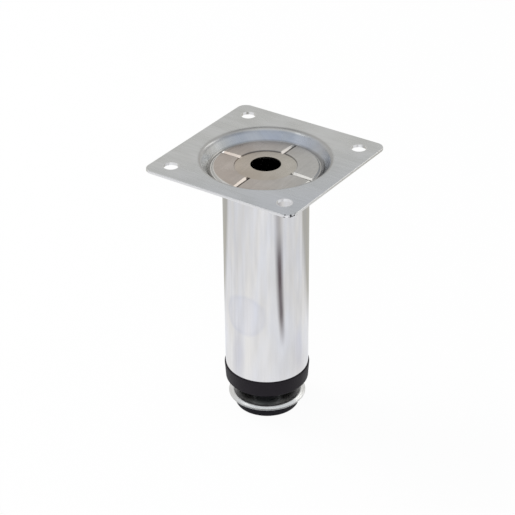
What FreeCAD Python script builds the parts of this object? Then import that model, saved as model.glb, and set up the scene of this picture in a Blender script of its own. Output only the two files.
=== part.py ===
import FreeCAD, Part
import math
import os
import Sketcher

# Adjustable cabinet leg: a chromed tube under a square, dished fixing plate,
# with a screw foot in a plastic plug at its lower end. Millimetres, +Z up.
# The origin is on the floor, at the middle of the foot pad, and the leg is
# modelled at the height setting of the photograph.

doc = FreeCAD.newDocument("CabinetLeg")

# Driving dimensions
sizes = {
    # whole leg: floor to fixing face, and how far the foot is screwed out
    "leg_height": 100.0,
    "foot_gap": 5.5,
    # fixing plate, pressed from sheet
    "plate_side": 60.0,
    "plate_sheet": 1.0,
    "plate_corner_r": 3.5,
    "plate_edge_r": 0.2,
    "fixing_spacing": 46.0,
    "fixing_hole_r": 2.6,
    "dish_rim_r": 22.6,
    "dish_floor_r": 19.7,
    "dish_depth": 4.5,
    "dish_bend_r": 1.3,
    "plate_opening_r": 9.0,
    # pressed disc in the dish, its levels measured on the upper side
    "disc_gap": 0.05,
    "disc_sheet": 0.6,
    "disc_hole_r": 5.3,
    "ring_hole_rise": 1.2,
    "ring_edge_r": 10.8,
    "ring_edge_rise": 0.55,
    "panel_step": 0.35,
    "panel_step_run": 0.1,
    "panel_fall": 0.25,
    "panel_edge_r": 0.18,
    "shoulder_run": 0.6,
    "disc_rim": 0.25,
    "groove_floor": 0.65,
    "groove_wall_run": 0.75,
    "groove_bite": 0.5,
    "groove_brim_r": 0.3,
    # tube
    "tube_r": 15.0,
    "tube_wall": 1.2,
    # plastic plug with its collar below the tube
    "collar_height": 6.3,
    "collar_reach": 0.4,
    "collar_taper": 0.45,
    "collar_edge_r": 0.4,
    "plug_depth": 24.0,
    "plug_wall": 1.6,
    "plug_lead": 0.8,
    "plug_fit": 0.05,
    "fin_height": 0.55,
    "fin_width": 1.2,
    "fin_end_gap": 2.0,
    "boss_wall": 2.2,
    "rib_width": 1.5,
    "rib_drop": 3.0,
    "stud_clearance": 0.4,
    # steel nut in the plug
    "nut_flats": 16.0,
    "nut_height": 8.0,
    "nut_recess": 1.0,
    "nut_cover": 3.0,
    "nut_fit": 0.05,
    "nut_chamfer": 0.9,
    "thread_fit": 0.05,
    # adjusting stud
    "stud_r": 5.0,
    "stud_length": 40.0,
    "stud_point": 1.0,
    "shank_r": 4.0,
    "rivet_r": 6.2,
    "rivet_room": 1.0,
    "rivet_height": 1.0,
    # steel flange on the stud
    "flange_r": 14.0,
    "flange_sheet": 1.25,
    "flange_bend_r": 0.9,
    "flange_lip_r": 0.2,
    # pad under the flange
    "pad_height": 4.25,
    "pad_r": 11.6,
    "pad_edge_r": 0.25,
    "pad_web": 2.0,
    "pad_slip": 0.05,
    "pivot_fit": 0.1,
}

# Counts of what repeats round the axis
quarters = 4
rib_count = 6
fin_count = 12
hex_sides = 6

sheet = doc.addObject("Spreadsheet::Sheet", "Dims")
for row, (alias, number) in enumerate(sizes.items(), start=1):
    sheet.set(f"A{row}", alias)
    sheet.set(f"B{row}", str(number))
    sheet.setAlias(f"B{row}", alias)
doc.recompute()

# Levels above the floor, lowest first
flange_under = "Dims.pad_height"
flange_top = f"({flange_under} + Dims.flange_sheet)"
collar_base = f"({flange_top} + Dims.foot_gap)"
tube_base = f"({collar_base} + Dims.collar_height)"
plate_top = "Dims.leg_height"
dish_floor = f"({plate_top} - Dims.dish_depth)"
dish_under = f"({dish_floor} - Dims.plate_sheet)"

# Radii that follow from the pieces they sit in or on
dish_slope = "atan(Dims.dish_depth / (Dims.dish_rim_r - Dims.dish_floor_r))"
dish_flat_r = f"(Dims.dish_floor_r - Dims.dish_bend_r * tan({dish_slope} / 2))"
disc_r = f"({dish_flat_r} - Dims.disc_gap)"
panel_in_r = "(Dims.ring_edge_r + Dims.panel_step_run)"
shoulder_r = f"({disc_r} - Dims.disc_rim)"
panel_out_r = f"({shoulder_r} - Dims.shoulder_run)"
tube_bore_r = "(Dims.tube_r - Dims.tube_wall)"
fin_r = f"({tube_bore_r} - Dims.plug_fit)"
plug_r = f"({fin_r} - Dims.fin_height)"
collar_top_r = "(Dims.tube_r + Dims.collar_reach)"
collar_base_r = f"({collar_top_r} - Dims.collar_taper)"
stud_bore_r = "(Dims.stud_r + Dims.stud_clearance)"
boss_r = f"({stud_bore_r} + Dims.boss_wall)"
pad_recess_r = "(Dims.rivet_r + Dims.rivet_room)"


def size(expression):
    """Value of an expression in the sheet's names."""
    return float(sheet.evalExpression(expression.replace("Dims.", "")))


def new_body(label, height):
    """Body of one piece, placed at a level above the floor."""
    body = doc.addObject("PartDesign::Body", label)
    body.Label = label
    body.setExpression("Placement.Base.z", height)
    return body


def new_sketch(body, name, role, offset=None):
    """Sketch on one of the body's own origin planes, raised by offset."""
    sketch = body.newObject("Sketcher::SketchObject", name)
    plane = next(item for item in body.Origin.OriginFeatures if item.Role == role)
    sketch.AttachmentSupport = (plane, "")
    sketch.MapMode = "FlatFace"
    if offset:
        sketch.setExpression("AttachmentOffset.Base.z", offset)
    return sketch


def bind(sketch, constraint, expression):
    """Add a constraint whose value follows the sheet."""
    index = sketch.addConstraint(constraint)
    sketch.setExpression(f"Constraints[{index}]", expression)


def pin_point(sketch, geometry, across, up, end=1):
    """Fix one end of a curve at two expressions, measured from the sketch origin."""
    origin, horizontal, vertical = -1, -1, -2
    if across == "0":
        sketch.addConstraint(Sketcher.Constraint("PointOnObject", geometry, end, vertical))
    else:
        bind(sketch, Sketcher.Constraint("DistanceX", origin, 1, geometry, end, size(across)), across)
    if up == "0":
        sketch.addConstraint(Sketcher.Constraint("PointOnObject", geometry, end, horizontal))
    else:
        bind(sketch, Sketcher.Constraint("DistanceY", origin, 1, geometry, end, size(up)), up)


def outline(sketch, corners):
    """Closed outline of straight lines through corners given as expressions."""
    points = [FreeCAD.Vector(size(across), size(up), 0) for across, up in corners]
    first = sketch.GeometryCount
    for start, end in zip(points, points[1:] + points[:1]):
        sketch.addGeometry(Part.LineSegment(start, end))
    for step, (across, up) in enumerate(corners):
        following = (step + 1) % len(corners)
        sketch.addConstraint(
            Sketcher.Constraint("Coincident", first + step, 2, first + following, 1))
        pin_point(sketch, first + step, across, up)


def hexagon(sketch, flats):
    """Six-sided outline with a corner on the sketch's horizontal axis."""
    corners = []
    for side in range(hex_sides):
        turn = side * 360 / hex_sides
        reach = f"{flats} / 2 / cos({180 / hex_sides})"
        across = f"{reach} * cos({turn})"
        up = f"{reach} * sin({turn})" if side % (hex_sides / 2) else "0"
        corners.append((across, up))
    outline(sketch, corners)


def circle(sketch, radius, across="0", up="0"):
    """Circle with its centre at two expressions."""
    centre = FreeCAD.Vector(size(across), size(up), 0)
    index = sketch.addGeometry(Part.Circle(centre, FreeCAD.Vector(0, 0, 1), size(radius)))
    bind(sketch, Sketcher.Constraint("Radius", index, size(radius)), radius)
    if across == "0" and up == "0":
        sketch.addConstraint(Sketcher.Constraint("Coincident", index, 3, -1, 1))
    else:
        bind(sketch, Sketcher.Constraint("DistanceX", -1, 1, index, 3, size(across)), across)
        bind(sketch, Sketcher.Constraint("DistanceY", -1, 1, index, 3, size(up)), up)


def turned(body, name, corners):
    """Solid turned about Z from an outline of radius and height."""
    sketch = new_sketch(body, f"{name}Profile", "XZ_Plane")
    outline(sketch, corners)
    solid = body.newObject("PartDesign::Revolution", name)
    solid.Profile = sketch
    solid.ReferenceAxis = (sketch, ["V_Axis"])
    solid.Angle = 360
    sketch.Visibility = False
    doc.recompute()
    return solid


def extruded(body, name, sketch, length):
    """Pad of a sketch, upwards."""
    pad = body.newObject("PartDesign::Pad", name)
    pad.Profile = sketch
    pad.setExpression("Length", length)
    sketch.Visibility = False
    doc.recompute()
    return pad


def pocketed(body, name, sketch, length=None, forwards=False):
    """Pocket of a sketch, through everything or to a length along its normal."""
    before = body.Shape.Volume
    pocket = body.newObject("PartDesign::Pocket", name)
    pocket.Profile = sketch
    pocket.Reversed = forwards
    if length:
        pocket.Type = "Length"
        pocket.setExpression("Length", length)
    else:
        pocket.Type = "ThroughAll"
        pocket.Midplane = True
    sketch.Visibility = False
    doc.recompute()
    if pocket.Shape.Volume >= before:
        raise RuntimeError(f"{name} removes nothing")
    return pocket


def around(body, name, features, count):
    """Repeat features evenly round the body's axis."""
    pattern = body.newObject("PartDesign::PolarPattern", name)
    pattern.Originals = features
    axis = next(item for item in body.Origin.OriginFeatures if item.Role == "Z_Axis")
    pattern.Axis = (axis, [""])
    pattern.Angle = 360
    pattern.Occurrences = count
    body.Tip = pattern
    doc.recompute()
    return pattern


def edges_where(feature, wanted):
    """Names of the feature's edges that a test picks."""
    return [f"Edge{n}" for n, edge in enumerate(feature.Shape.Edges, start=1) if wanted(edge)]


def near(value, expression, slack=0.01):
    """True where a measured value equals an expression."""
    return abs(value - size(expression)) < slack


def is_ring(edge, radius, height):
    """True for a round edge about the axis with this radius and local height."""
    if not isinstance(edge.Curve, Part.Circle):
        return False
    return near(edge.Curve.Radius, radius) and near(edge.Curve.Center.z, height)


def rounded(body, name, base, wanted, radius):
    """Fillet on the edges that a test picks."""
    fillet = body.newObject("PartDesign::Fillet", name)
    fillet.Base = (base, edges_where(base, wanted))
    fillet.setExpression("Radius", radius)
    body.Tip = fillet
    doc.recompute()
    return fillet


# Fixing plate: square sheet with a round pressed dish, open in its middle.
# Local zero is the face that lies against the cabinet.

def make_mounting_plate():
    body = new_body("mounting_plate", plate_top)
    half = "Dims.plate_side / 2"
    blank = new_sketch(body, "BlankOutline", "XY_Plane", "-Dims.plate_sheet")
    outline(blank, [(f"-{half}", f"-{half}"), (half, f"-{half}"), (half, half), (f"-{half}", half)])
    square = extruded(body, "Blank", blank, "Dims.plate_sheet")
    corners = rounded(
        body, "BlankCorners", square,
        lambda edge: edge.BoundBox.ZLength > size("Dims.plate_sheet") / 2,
        "Dims.plate_corner_r")
    rounded(
        body, "BlankEdges", corners,
        lambda edge: edge.BoundBox.ZLength < size("Dims.plate_sheet") / 2,
        "Dims.plate_edge_r")

    cut = new_sketch(body, "DishCutOutline", "XY_Plane")
    circle(cut, "Dims.dish_rim_r")
    pocketed(body, "DishCut", cut)

    # the sheet keeps its thickness round both bends of the dish wall
    shift = f"Dims.plate_sheet * tan({dish_slope} / 2)"
    dish = turned(body, "Dish", [
        ("Dims.plate_opening_r", "-Dims.dish_depth"),
        ("Dims.dish_floor_r", "-Dims.dish_depth"),
        ("Dims.dish_rim_r", "0"),
        (f"Dims.dish_rim_r + {shift}", "0"),
        (f"Dims.dish_rim_r + {shift}", "-Dims.plate_sheet"),
        (f"Dims.dish_floor_r + {shift}", "-Dims.dish_depth - Dims.plate_sheet"),
        ("Dims.plate_opening_r", "-Dims.dish_depth - Dims.plate_sheet"),
    ])
    inner_bends = rounded(
        body, "DishInnerBends", dish,
        lambda edge: is_ring(edge, "Dims.dish_floor_r", "-Dims.dish_depth")
        or is_ring(edge, f"Dims.dish_rim_r + {shift}", "-Dims.plate_sheet"),
        "Dims.dish_bend_r")
    outer_bends = rounded(
        body, "DishOuterBends", inner_bends,
        lambda edge: is_ring(edge, "Dims.dish_rim_r", "0")
        or is_ring(edge, f"Dims.dish_floor_r + {shift}", "-Dims.dish_depth - Dims.plate_sheet"),
        "Dims.dish_bend_r + Dims.plate_sheet")

    hole = new_sketch(body, "FixingHoleOutline", "XY_Plane")
    circle(hole, "Dims.fixing_hole_r", "Dims.fixing_spacing / 2", "Dims.fixing_spacing / 2")
    fixing = pocketed(body, "FixingHole", hole)
    around(body, "FixingHoles", [fixing], quarters)
    return body


# Disc pressed from sheet, lying in the dish: a domed ring round the centre
# hole and four raised panels, parted by radial grooves that reach the dish.
# Local zero is the underside of the grooves and the rim.

def groove_outline(sketch, half, run, floor, brim, radius, above):
    """Section of a groove with sloping walls and rounded brims, alike on both sides."""
    slope = f"atan(({brim} - {floor}) / {run})"
    reach = f"{radius} * tan({slope} / 2)"
    wall = f"({half} + {run} - {reach} * cos({slope}))"
    wall_top = f"({brim} - {reach} * sin({slope}))"
    wide = f"({half} + {run} + {reach})"
    turn = f"({brim} - {radius})"
    corners = [
        (f"-{half}", floor), (half, floor), (wall, wall_top), (wide, brim),
        (wide, above), (f"-{wide}", above), (f"-{wide}", brim), (f"-{wall}", wall_top)]
    points = [FreeCAD.Vector(size(across), size(up), 0) for across, up in corners]
    upright = math.pi / 2
    lean = math.radians(size(slope))
    arcs = {2: (wide, upright, upright + lean), 6: (f"-{wide}", upright - lean, upright)}
    ends = []
    for step, (across, up) in enumerate(corners):
        if step in arcs:
            middle, low_turn, high_turn = arcs[step]
            centre = FreeCAD.Vector(size(middle), size(turn), 0)
            whole = Part.Circle(centre, FreeCAD.Vector(0, 0, 1), size(radius))
            curve = sketch.addGeometry(Part.ArcOfCircle(whole, low_turn, high_turn))
            bind(sketch, Sketcher.Constraint("Radius", curve, size(radius)), radius)
            ends.append((curve, 2, 1))
        else:
            following = points[(step + 1) % len(points)]
            ends.append((sketch.addGeometry(Part.LineSegment(points[step], following)), 1, 2))
        pin_point(sketch, ends[-1][0], across, up, ends[-1][1])
    for (curve, _, last), (after, first, _) in zip(ends, ends[1:] + ends[:1]):
        sketch.addConstraint(Sketcher.Constraint("Coincident", curve, last, after, first))


def make_top_disc():
    body = new_body("top_disc", dish_floor)
    panel_in = "(Dims.ring_edge_rise + Dims.panel_step)"
    panel_out = f"({panel_in} - Dims.panel_fall)"
    under_shift = "Dims.disc_sheet / 2"
    sheet = turned(body, "DiscSheet", [
        ("Dims.disc_hole_r", "Dims.ring_hole_rise"),
        ("Dims.ring_edge_r", "Dims.ring_edge_rise"),
        (f"{panel_in_r} + {under_shift}", panel_in),
        (f"{panel_out_r} - {under_shift}", panel_out),
        (f"{shoulder_r} - {under_shift}", "0"),
        (disc_r, "0"),
        (disc_r, "Dims.disc_sheet"),
        (shoulder_r, "Dims.disc_sheet"),
        (panel_out_r, f"Dims.disc_sheet + {panel_out}"),
        (panel_in_r, f"Dims.disc_sheet + {panel_in}"),
        ("Dims.ring_edge_r", "Dims.disc_sheet + Dims.ring_edge_rise"),
        ("Dims.disc_hole_r", "Dims.disc_sheet + Dims.ring_hole_rise"),
    ])
    rounded(
        body, "PanelEdges", sheet,
        lambda edge: is_ring(edge, panel_in_r, f"Dims.disc_sheet + {panel_in}")
        or is_ring(edge, panel_out_r, f"Dims.disc_sheet + {panel_out}"),
        "Dims.panel_edge_r")

    # each groove is the same sheet pressed down to the level of the rim
    half_floor = "Dims.groove_floor / 2"
    half_bed = f"{half_floor} + Dims.groove_wall_run + Dims.disc_sheet"
    bed = new_sketch(body, "GrooveBedOutline", "XY_Plane")
    slot_in = "(Dims.ring_edge_r - Dims.groove_bite)"
    bed_ends = (f"{slot_in} - Dims.disc_sheet", f"{shoulder_r} - {under_shift}")
    outline(bed, [
        (bed_ends[0], f"-({half_bed})"), (bed_ends[1], f"-({half_bed})"),
        (bed_ends[1], half_bed), (bed_ends[0], half_bed)])
    filled = extruded(body, "GrooveBed", bed, f"Dims.disc_sheet / 2 + {panel_out}")
    around(body, "GrooveBeds", [filled], quarters)

    slot = new_sketch(body, "GrooveOutline", "YZ_Plane", slot_in)
    brim = f"(Dims.disc_sheet + {panel_in})"
    groove_outline(
        slot, half_floor, "Dims.groove_wall_run", "Dims.disc_sheet", brim,
        "Dims.groove_brim_r", f"{brim} + Dims.ring_hole_rise")
    groove = pocketed(body, "Groove", slot, f"{dish_flat_r} - {slot_in}", forwards=True)
    around(body, "Grooves", [groove], quarters)
    return body


# Tube: plain, open at both ends, from the plug's collar to the dish.

def make_tube():
    body = new_body("tube", tube_base)
    length = f"{dish_under} - {tube_base}"
    turned(body, "TubeWall", [
        (tube_bore_r, "0"),
        ("Dims.tube_r", "0"),
        ("Dims.tube_r", length),
        (tube_bore_r, length),
    ])
    return body


# Plug: tapered collar below the tube, sleeve with fins inside it, and a
# ribbed boss over the nut. Local zero is the underside of the collar.

def make_end_plug():
    body = new_body("end_plug", collar_base)
    plug_top = "Dims.collar_height + Dims.plug_depth"
    nut_top = "Dims.nut_recess + Dims.nut_height"
    core_top = f"{nut_top} + Dims.nut_cover"
    sleeve_in = f"{plug_r} - Dims.plug_wall"
    rib_top = f"{plug_top} - Dims.rib_drop"
    shell = turned(body, "PlugShell", [
        (stud_bore_r, "0"),
        (collar_base_r, "0"),
        (collar_top_r, "Dims.collar_height"),
        (plug_r, "Dims.collar_height"),
        (plug_r, f"{plug_top} - Dims.plug_lead"),
        (f"{plug_r} - Dims.plug_lead", plug_top),
        (sleeve_in, plug_top),
        (sleeve_in, core_top),
        (boss_r, core_top),
        (boss_r, rib_top),
        (stud_bore_r, rib_top),
    ])
    rounded(
        body, "CollarEdges", shell,
        lambda edge: is_ring(edge, collar_base_r, "0")
        or is_ring(edge, collar_top_r, "Dims.collar_height"), "Dims.collar_edge_r")

    seat = new_sketch(body, "NutSeatOutline", "XY_Plane")
    hexagon(seat, "(Dims.nut_flats + 2 * Dims.nut_fit)")
    pocketed(body, "NutSeat", seat, nut_top, forwards=True)

    # ribs start inside the boss and end inside the sleeve
    bite = "Dims.plug_wall / 2"
    rib = new_sketch(body, "RibOutline", "XY_Plane", core_top)
    half_rib = "Dims.rib_width / 2"
    rib_ends = (f"{boss_r} - {bite}", f"{sleeve_in} + {bite}")
    outline(rib, [
        (rib_ends[0], f"-{half_rib}"), (rib_ends[1], f"-{half_rib}"),
        (rib_ends[1], half_rib), (rib_ends[0], half_rib)])
    wall = extruded(body, "Rib", rib, f"{rib_top} - ({core_top})")
    around(body, "Ribs", [wall], rib_count)

    # fins centre the sleeve in the tube
    fin = new_sketch(body, "FinOutline", "XY_Plane", "Dims.collar_height")
    half_fin = "Dims.fin_width / 2"
    fin_ends = (f"{plug_r} - {bite}", fin_r)
    outline(fin, [
        (fin_ends[0], f"-{half_fin}"), (fin_ends[1], f"-{half_fin}"),
        (fin_ends[1], half_fin), (fin_ends[0], half_fin)])
    ridge = extruded(body, "Fin", fin, "Dims.plug_depth - Dims.plug_lead - Dims.fin_end_gap")
    around(body, "Fins", [ridge], fin_count)
    return body


# Nut pressed into the plug from below: turned blank, its flats cut after.
# Its bore stands for the thread's crests. Local zero is its lower face.

def make_thread_nut():
    body = new_body("thread_nut", f"{collar_base} + Dims.nut_recess")
    corner = f"Dims.nut_flats / 2 / cos({180 / hex_sides})"
    bore = "Dims.stud_r + Dims.thread_fit"
    ease = "Dims.nut_chamfer"
    rise = f"{ease} * tan(30)"
    turned(body, "NutBlank", [
        (f"{bore} + {ease} / 2", "0"),
        (f"{corner} - {ease}", "0"),
        (corner, rise),
        (corner, f"Dims.nut_height - {rise}"),
        (f"{corner} - {ease}", "Dims.nut_height"),
        (f"{bore} + {ease} / 2", "Dims.nut_height"),
        (bore, f"Dims.nut_height - {ease} / 2"),
        (bore, f"{ease} / 2"),
    ])
    flats = new_sketch(body, "FlatsOutline", "XY_Plane")
    circle(flats, "Dims.nut_flats")
    hexagon(flats, "Dims.nut_flats")
    pocketed(body, "Flats", flats)
    return body


# Stud: threaded length above the flange, riveted under the pad's web.
# Local zero is the shoulder on the flange's upper face.

def make_adjusting_stud():
    body = new_body("adjusting_stud", flange_top)
    shank_end = "-(Dims.flange_sheet + Dims.pad_slip + Dims.pad_web + Dims.pivot_fit)"
    rivet_end = f"{shank_end} - Dims.rivet_height"
    dome = "Dims.rivet_height / 2"
    turned(body, "Stud", [
        ("0", rivet_end),
        (f"Dims.rivet_r - {dome}", rivet_end),
        ("Dims.rivet_r", f"{rivet_end} + {dome}"),
        ("Dims.rivet_r", shank_end),
        ("Dims.shank_r", shank_end),
        ("Dims.shank_r", "0"),
        ("Dims.stud_r", "0"),
        ("Dims.stud_r", "Dims.stud_length - Dims.stud_point"),
        ("Dims.stud_r - Dims.stud_point", "Dims.stud_length"),
        ("0", "Dims.stud_length"),
    ])
    return body


# Flange: round steel plate on the stud's shoulder, its upper edge rolled
# over by the press. Local zero is its lower face, where the pad bears.

def make_foot_flange():
    body = new_body("foot_flange", flange_under)
    blank = turned(body, "FlangePlate", [
        ("Dims.shank_r", "0"),
        ("Dims.flange_r", "0"),
        ("Dims.flange_r", "Dims.flange_sheet"),
        ("Dims.shank_r", "Dims.flange_sheet"),
    ])
    rim = rounded(
        body, "FlangeRim", blank,
        lambda edge: is_ring(edge, "Dims.flange_r", "Dims.flange_sheet"), "Dims.flange_bend_r")
    rounded(
        body, "FlangeLip", rim,
        lambda edge: is_ring(edge, "Dims.flange_r", "0"), "Dims.flange_lip_r")
    return body


# Pad: stands on the floor, and the flange turns on it. Local zero is the
# floor. Its web is held between the flange and the stud's riveted end.

def make_foot_pad():
    body = new_body("foot_pad", "0")
    top = "Dims.pad_height - Dims.pad_slip"
    web_base = f"{top} - Dims.pad_web"
    hole = "Dims.shank_r + Dims.pivot_fit"
    pad = turned(body, "Pad", [
        (pad_recess_r, "0"),
        ("Dims.pad_r", "0"),
        ("Dims.pad_r", top),
        (hole, top),
        (hole, web_base),
        (pad_recess_r, web_base),
    ])
    rounded(
        body, "PadEdges", pad,
        lambda edge: is_ring(edge, "Dims.pad_r", "0") or is_ring(edge, "Dims.pad_r", top),
        "Dims.pad_edge_r")
    return body


pieces = [
    make_mounting_plate(),
    make_top_disc(),
    make_tube(),
    make_end_plug(),
    make_thread_nut(),
    make_adjusting_stud(),
    make_foot_flange(),
    make_foot_pad(),
]
doc.recompute()

# Check every feature and every piece before anything is written
for item in doc.Objects:
    if "Invalid" in item.State or "Error" in item.State:
        raise RuntimeError(f"{item.Label} failed: {item.State}")
for piece in pieces:
    shape = piece.Shape
    if shape.isNull() or not shape.isValid() or len(shape.Solids) != 1:
        raise RuntimeError(f"{piece.Label} is not one valid solid")

os.makedirs("parts", exist_ok=True)
for piece in pieces:
    box = piece.Shape.BoundBox
    piece.Shape.exportStep(os.path.join("parts", f"{piece.Label}.step"))
    print(f"{piece.Label}: {piece.Shape.Volume:.1f} mm3, z {box.ZMin:.2f} to {box.ZMax:.2f}")
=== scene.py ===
import bpy
import bmesh
import math
from mathutils import Matrix, Vector


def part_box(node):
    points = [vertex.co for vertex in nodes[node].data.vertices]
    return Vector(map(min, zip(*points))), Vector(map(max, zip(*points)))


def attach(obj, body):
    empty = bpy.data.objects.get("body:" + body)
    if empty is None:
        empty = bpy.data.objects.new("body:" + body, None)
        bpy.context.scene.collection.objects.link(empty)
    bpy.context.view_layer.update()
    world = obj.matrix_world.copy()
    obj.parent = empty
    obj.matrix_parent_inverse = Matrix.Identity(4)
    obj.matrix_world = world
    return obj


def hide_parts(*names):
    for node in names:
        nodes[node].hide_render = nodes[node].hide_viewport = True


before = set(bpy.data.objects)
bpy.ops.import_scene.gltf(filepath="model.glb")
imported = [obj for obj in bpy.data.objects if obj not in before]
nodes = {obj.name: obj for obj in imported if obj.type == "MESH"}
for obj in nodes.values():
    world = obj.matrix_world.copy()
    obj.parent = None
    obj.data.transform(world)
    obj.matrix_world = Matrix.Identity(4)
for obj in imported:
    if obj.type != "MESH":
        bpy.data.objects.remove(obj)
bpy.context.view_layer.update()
print("frame loaded:", len(nodes), "nodes")

# camera: lens and place fitted to the plate's corners and holes in the photograph
camera = {
    "azimuth": 34.6,          # degrees round the leg, 0 looks along +Y
    "elevation": 30.9,
    "roll": -0.54,
    "distance": 0.639,
    "lookHeight": 0.0602,     # height of the aimed point on the tube's axis
    "lookAside": -0.0031,     # and how far it lies right of the axis
    "lens": 127.2,
    "sensor": 36.0,
    "clip": (0.01, 20.0),
}


def addObject(name, data):
    obj = bpy.data.objects.new(name, data)
    bpy.context.scene.collection.objects.link(obj)
    return obj


def addCamera():
    turn, rise = math.radians(camera["azimuth"]), math.radians(camera["elevation"])
    back = Vector((math.sin(turn) * math.cos(rise), -math.cos(turn) * math.cos(rise),
                   math.sin(rise)))
    right = Vector((math.cos(turn), math.sin(turn), 0.0))
    up = back.cross(right)
    aim = Vector((0.0, 0.0, camera["lookHeight"])) + right * camera["lookAside"]
    data = bpy.data.cameras.new("photoCamera")
    data.lens, data.sensor_width = camera["lens"], camera["sensor"]
    data.clip_start, data.clip_end = camera["clip"]
    obj = addObject("photoCamera", data)
    axes = Matrix((right, up, back)).transposed().to_4x4()
    roll = Matrix.Rotation(math.radians(camera["roll"]), 4, "Z")
    obj.matrix_world = Matrix.Translation(aim + back * camera["distance"]) @ axes @ roll
    bpy.context.scene.camera = obj


addCamera()
bpy.context.scene.view_settings.view_transform = "Standard"


# node helpers
def emptyMaterial(name):
    mat = bpy.data.materials.new(name)
    mat.use_nodes = True
    mat.node_tree.nodes.clear()
    return mat, mat.node_tree, mat.node_tree.nodes.new("ShaderNodeOutputMaterial")


def newMaterial(name):
    mat, tree, out = emptyMaterial(name)
    shader = tree.nodes.new("ShaderNodeBsdfPrincipled")
    tree.links.new(shader.outputs["BSDF"], out.inputs["Surface"])
    return mat, tree, shader


def addNode(tree, kind, **settings):
    node = tree.nodes.new(kind)
    for key, value in settings.items():
        setattr(node, key, value)
    return node


def mathNode(tree, operation, first, second=None, third=None):
    node = addNode(tree, "ShaderNodeMath", operation=operation)
    for slot, value in enumerate((first, second, third)):
        if value is None:
            continue
        if isinstance(value, (int, float)):
            node.inputs[slot].default_value = value
        else:
            tree.links.new(value, node.inputs[slot])
    return node.outputs[0]


def product(tree, *factors):
    result = factors[0]
    for factor in factors[1:]:
        result = mathNode(tree, "MULTIPLY", result, factor)
    return result


def minus(tree, first, second):
    return mathNode(tree, "SUBTRACT", first, second)


def clamped(tree, value):
    return mathNode(tree, "MINIMUM", mathNode(tree, "MAXIMUM", value, 0.0), 1.0)


def length(tree, first, second):
    squares = mathNode(tree, "ADD", product(tree, first, first), product(tree, second, second))
    return mathNode(tree, "SQRT", squares)


# how far a point lies from the axis along a compass direction, in degrees from +X
def along(tree, x, y, direction):
    turn = math.radians(direction)
    return mathNode(tree, "ADD", product(tree, x, math.cos(turn)), product(tree, y, math.sin(turn)))


def mixColour(tree, factor, low, high, blend="MIX"):
    node = addNode(tree, "ShaderNodeMix", data_type="RGBA", blend_type=blend)
    sockets = {socket.name: socket for socket in node.inputs if socket.enabled}
    for name, value in (("Factor", factor), ("A", low), ("B", high)):
        if hasattr(value, "node"):
            tree.links.new(value, sockets[name])
        elif name == "Factor":
            sockets[name].default_value = value
        else:
            sockets[name].default_value = (*value, 1.0)
    return next(socket for socket in node.outputs if socket.enabled)


def mapRange(tree, value, fromMin, fromMax, toMin, toMax):
    node = addNode(tree, "ShaderNodeMapRange")
    tree.links.new(value, node.inputs["Value"])
    node.inputs["From Min"].default_value = fromMin
    node.inputs["From Max"].default_value = fromMax
    node.inputs["To Min"].default_value = toMin
    node.inputs["To Max"].default_value = toMax
    return node.outputs["Result"]


# masks over a stretch of a value: one grows to its full share there, one fades from it
def grows(tree, value, stretch, full=1.0):
    return mapRange(tree, value, *stretch, 0.0, full)


def fades(tree, value, stretch, full=1.0):
    return mapRange(tree, value, *stretch, full, 0.0)


def band(tree, value, start, end):
    return product(tree, grows(tree, value, start), fades(tree, value, end))


# the point's own coordinates, as the piece has them
def place(tree):
    coord = addNode(tree, "ShaderNodeTexCoord")
    split = addNode(tree, "ShaderNodeSeparateXYZ")
    tree.links.new(coord.outputs["Object"], split.inputs[0])
    return split.outputs


def groupTree(name, inputs, outputs):
    tree = bpy.data.node_groups.new(name, "ShaderNodeTree")
    for socketName, kind, default in inputs:
        socket = tree.interface.new_socket(name=socketName, in_out="INPUT", socket_type=kind)
        socket.default_value = default
    for socketName, kind in outputs:
        tree.interface.new_socket(name=socketName, in_out="OUTPUT", socket_type=kind)
    return tree, tree.nodes.new("NodeGroupInput"), tree.nodes.new("NodeGroupOutput")


# noise stretched along the axes of a vector
def stretchedNoise(tree, vector, stretch, roughness):
    scale = addNode(tree, "ShaderNodeVectorMath", operation="MULTIPLY")
    tree.links.new(vector, scale.inputs[0])
    tree.links.new(stretch, scale.inputs[1])
    noise = addNode(tree, "ShaderNodeTexNoise")
    noise.inputs["Scale"].default_value = 1.0
    noise.inputs["Roughness"].default_value = roughness
    tree.links.new(scale.outputs[0], noise.inputs["Vector"])
    return noise


# mottling, drawn lines or moulding grain, by the three scales of the stretch
def grainGroup():
    tree, start, end = groupTree(
        "surfaceGrain",
        [("Stretch", "NodeSocketVector", (1.0, 1.0, 1.0)), ("Detail", "NodeSocketFloat", 3.0),
         ("Contrast", "NodeSocketFloat", 1.0)],
        [("Value", "NodeSocketFloat")])
    coord = addNode(tree, "ShaderNodeTexCoord")
    noise = stretchedNoise(tree, coord.outputs["Object"], start.outputs["Stretch"],
                           roughness=0.55)
    tree.links.new(start.outputs["Detail"], noise.inputs["Detail"])
    centred = minus(tree, noise.outputs["Fac"], 0.5)
    spread = product(tree, centred, start.outputs["Contrast"])
    tree.links.new(mathNode(tree, "ADD", spread, 0.5), end.inputs["Value"])
    return tree


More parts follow.
